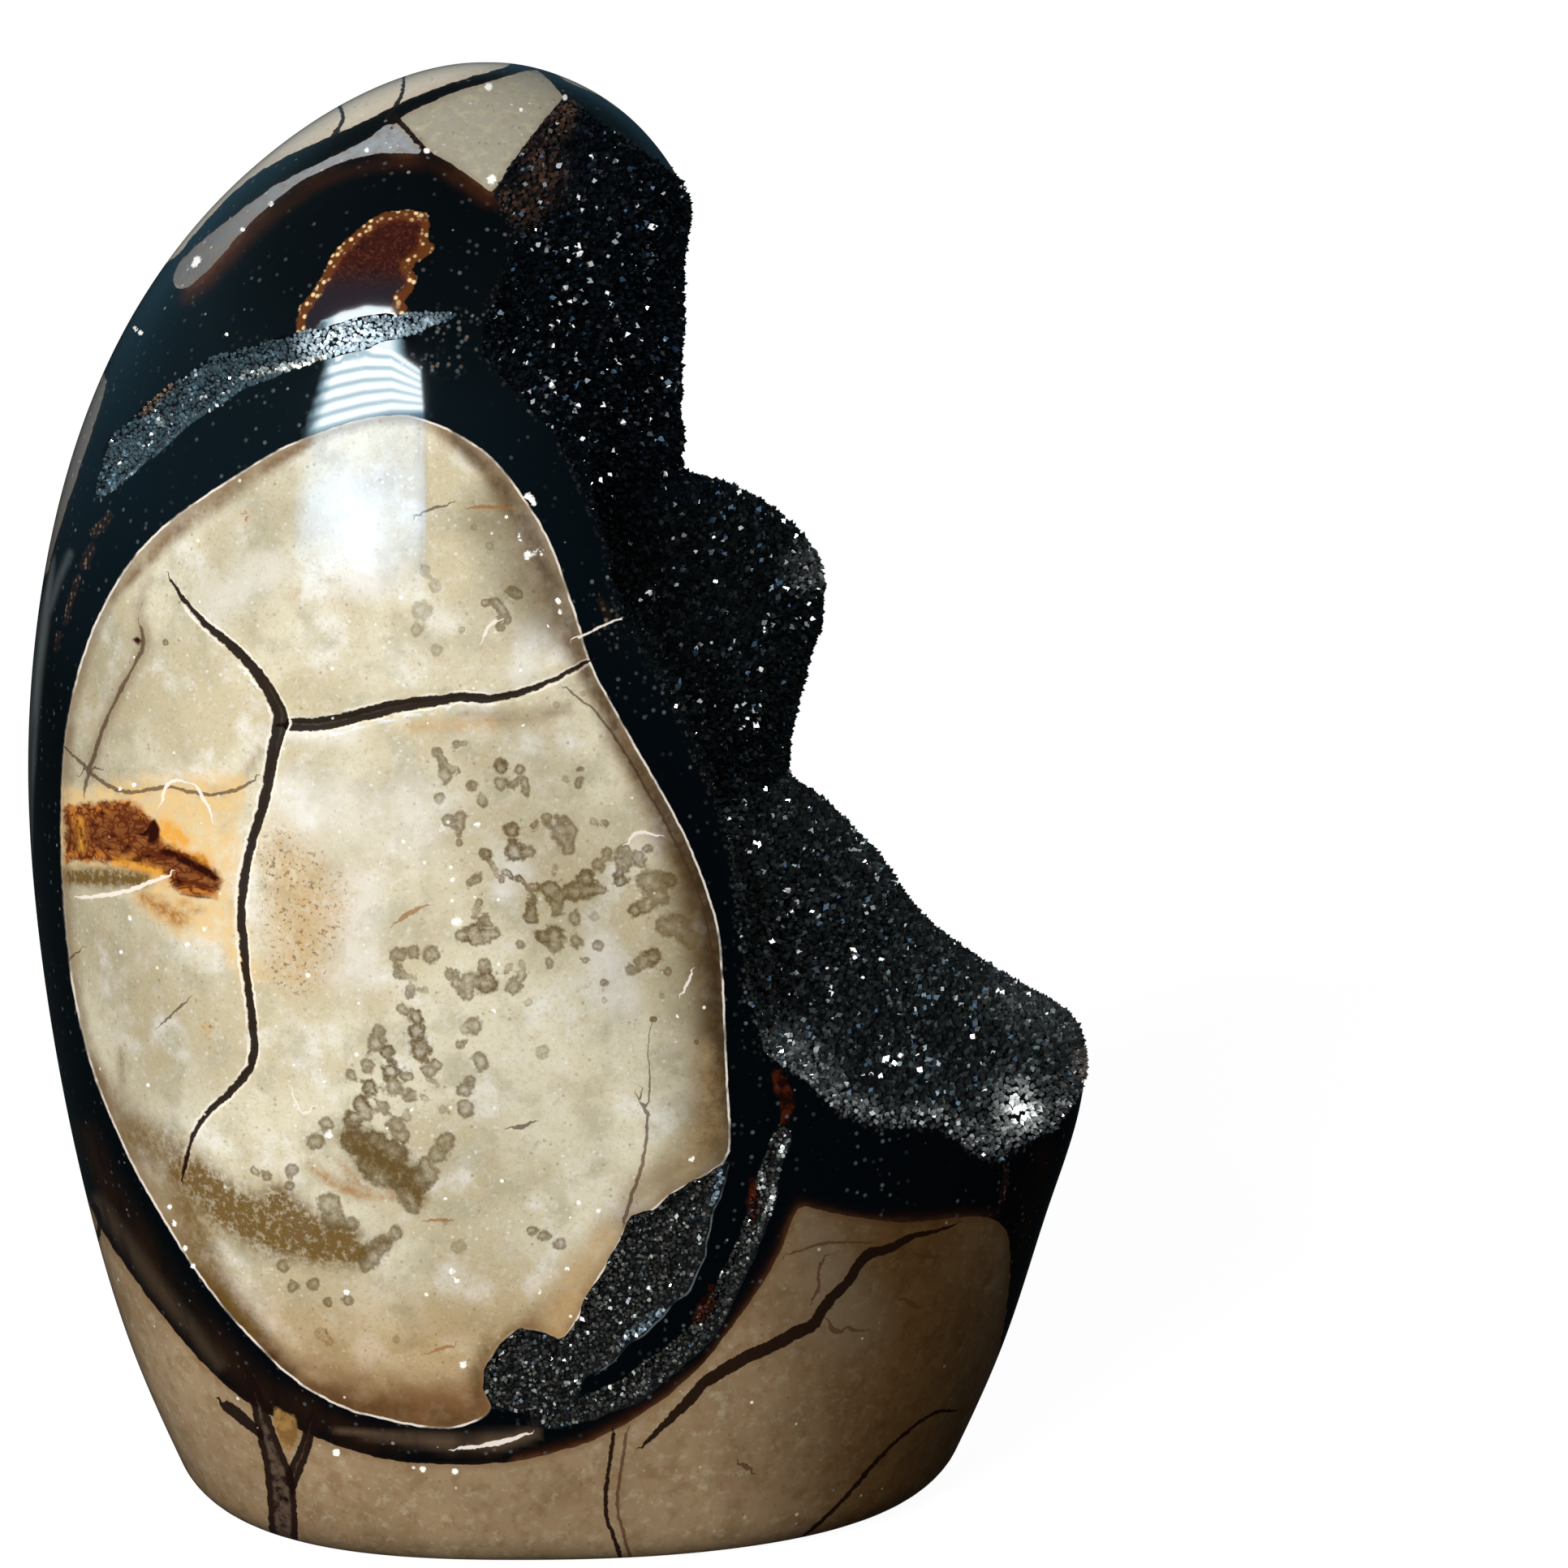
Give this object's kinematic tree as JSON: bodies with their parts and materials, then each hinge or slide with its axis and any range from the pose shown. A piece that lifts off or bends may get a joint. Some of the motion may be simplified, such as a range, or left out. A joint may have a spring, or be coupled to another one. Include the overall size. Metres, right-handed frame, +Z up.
{
  "type": "septarian nodule",
  "caption": "Polished septarian nodule that stands on a small flat base: cream limestone cells ringed by black calcite, open at the side on a cavity lined with black druse crystals.",
  "frame": {"origin": "on the flat base, under the middle of the stone's bounding box", "axes": "+Z up; -Y towards the polished front with the large oval cell; +X towards the open crystal cavity"},
  "size_m": [0.1267, 0.0867, 0.173],
  "materials": {
    "polished_stone": "cream to tan limestone cells with black calcite veins, ground smooth and polished to a gloss",
    "druse": "black calcite druse, small sharp glossy crystals"
  },
  "bodies": {
    "root": {"septarian_nodule": "polished_stone"}
  },
  "joints": []
}
